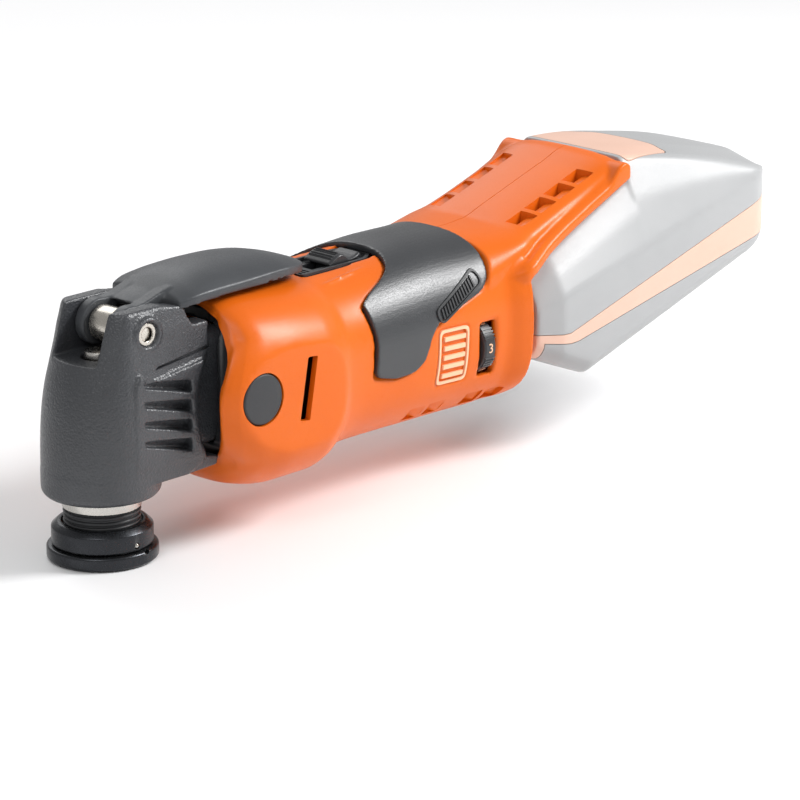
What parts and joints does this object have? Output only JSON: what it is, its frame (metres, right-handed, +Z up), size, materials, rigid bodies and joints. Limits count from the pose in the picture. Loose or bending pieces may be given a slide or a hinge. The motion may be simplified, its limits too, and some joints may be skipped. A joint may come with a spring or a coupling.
{
  "type": "oscillating multi tool",
  "caption": "Cordless oscillating multi tool: gear head with quick-clamp lever and star mount, moulded body with slide switch and speed dial, slide-on battery.",
  "frame": {"origin": "Middle of the bounding box in plan, at the height of the mount flange's lower face, which is the lowest point.", "axes": "+X along the tool from the gear head to the battery, +Y to the tool's right side, +Z up along the output spindle."},
  "size_m": [0.3192, 0.074, 0.0968],
  "materials": {
    "cast_grey": "dark grey fine-textured powder coat on die-cast aluminium",
    "orange_plastic": "finely textured orange glass-filled polyamide",
    "grip_rubber": "matt dark grey soft overmould",
    "black_plastic": "satin black moulded plastic",
    "bright_steel": "turned bright steel",
    "black_oxide": "turned steel with a black oxide finish",
    "pale_plastic": "pale grey moulded plastic",
    "peach_plastic": "pale peach moulded plastic",
    "board_green": "green circuit board",
    "motor_iron": "coated laminations and windings",
    "cell_can": "sleeved lithium cell can"
  },
  "bodies": {
    "housing": {"gear_head": "cast_grey", "head_damper": "grip_rubber", "housing_left": "orange_plastic", "housing_right": "orange_plastic", "grip_left": "grip_rubber", "grip_right": "grip_rubber", "plug_left": "black_plastic", "plug_right": "black_plastic", "badge_plate": "grip_rubber", "switch_base": "black_plastic", "motor_stator": "motor_iron", "motor_bearing_front": "bright_steel", "motor_bearing_rear": "bright_steel", "spindle_bearing_low": "bright_steel", "spindle_bearing_high": "bright_steel", "spindle_collar": "bright_steel", "neck_seal": "grip_rubber", "hinge_pin": "bright_steel", "snap_ring_left": "bright_steel", "snap_ring_right": "bright_steel", "dial_axle": "bright_steel", "control_board": "board_green", "battery_rail": "black_plastic", "battery_contact_plus": "bright_steel", "battery_contact_minus": "bright_steel", "housing_screw_1": "bright_steel", "housing_screw_2": "bright_steel", "housing_screw_3": "bright_steel", "housing_screw_4": "bright_steel", "housing_screw_5": "bright_steel", "housing_screw_6": "bright_steel"},
    "spindle": {"output_spindle": "bright_steel", "mount_flange": "black_oxide", "mount_ring": "black_oxide", "index_pin": "bright_steel", "rocker_arm": "bright_steel"},
    "plunger": {"clamp_plunger": "bright_steel", "clamp_spring": "bright_steel"},
    "lever": {"clamp_lever": "cast_grey", "hinge_bush": "bright_steel"},
    "rotor": {"motor_rotor": "bright_steel", "eccentric_cam": "bright_steel", "cooling_fan": "black_plastic"},
    "switch": {"switch_slider": "black_plastic"},
    "dial": {"speed_dial": "black_plastic"},
    "pack": {"pack_lower_shell": "pale_plastic", "pack_band": "peach_plastic", "pack_upper_shell": "pale_plastic", "battery_cell_1": "cell_can", "battery_cell_2": "cell_can", "battery_cell_3": "cell_can", "battery_cell_4": "cell_can", "battery_cell_5": "cell_can"},
    "release_button": {"pack_release_button": "peach_plastic"}
  },
  "joints": [
    {"name": "lever_hinge", "type": "hinge", "parent": "housing", "child": "lever", "pos_m": [-0.13435, 0, 0.0755], "axis": [0, -1, 0], "range_deg": [0, 110]},
    {"name": "spindle_swing", "type": "hinge", "parent": "housing", "child": "spindle", "pos_m": [-0.14035, 0, 0.03], "axis": [0, 0, 1], "range_deg": [-2, 2]},
    {"name": "plunger_slide", "type": "slide", "parent": "housing", "child": "plunger", "axis": [0, 0, -1], "range_m": [0, 0.003], "deforming": ["clamp_spring"]},
    {"name": "rotor_spin", "type": "hinge", "parent": "housing", "child": "rotor", "pos_m": [-0.06035, 0, 0.047], "axis": [1, 0, 0], "continuous": true},
    {"name": "switch_slide", "type": "slide", "parent": "housing", "child": "switch", "axis": [-1, 0, 0], "range_m": [0, 0.006]},
    {"name": "dial_turn", "type": "hinge", "parent": "housing", "child": "dial", "pos_m": [0.00765, -0.022, 0.044], "axis": [1, 0, 0], "range_deg": [-150, 150]},
    {"name": "pack_slide", "type": "slide", "parent": "housing", "child": "pack", "axis": [0.922, 0, 0.3872], "range_m": [0, 0.08]},
    {"name": "release_press", "type": "slide", "parent": "pack", "child": "release_button", "axis": [0, 0, -1], "range_m": [0, 0.002], "stiffness_N_per_m": 400, "springref_m": -0.002}
  ],
  "couplings": [
    {"joint": "plunger_slide", "follows": "lever_hinge", "m_per_rad": 0.00156}
  ]
}
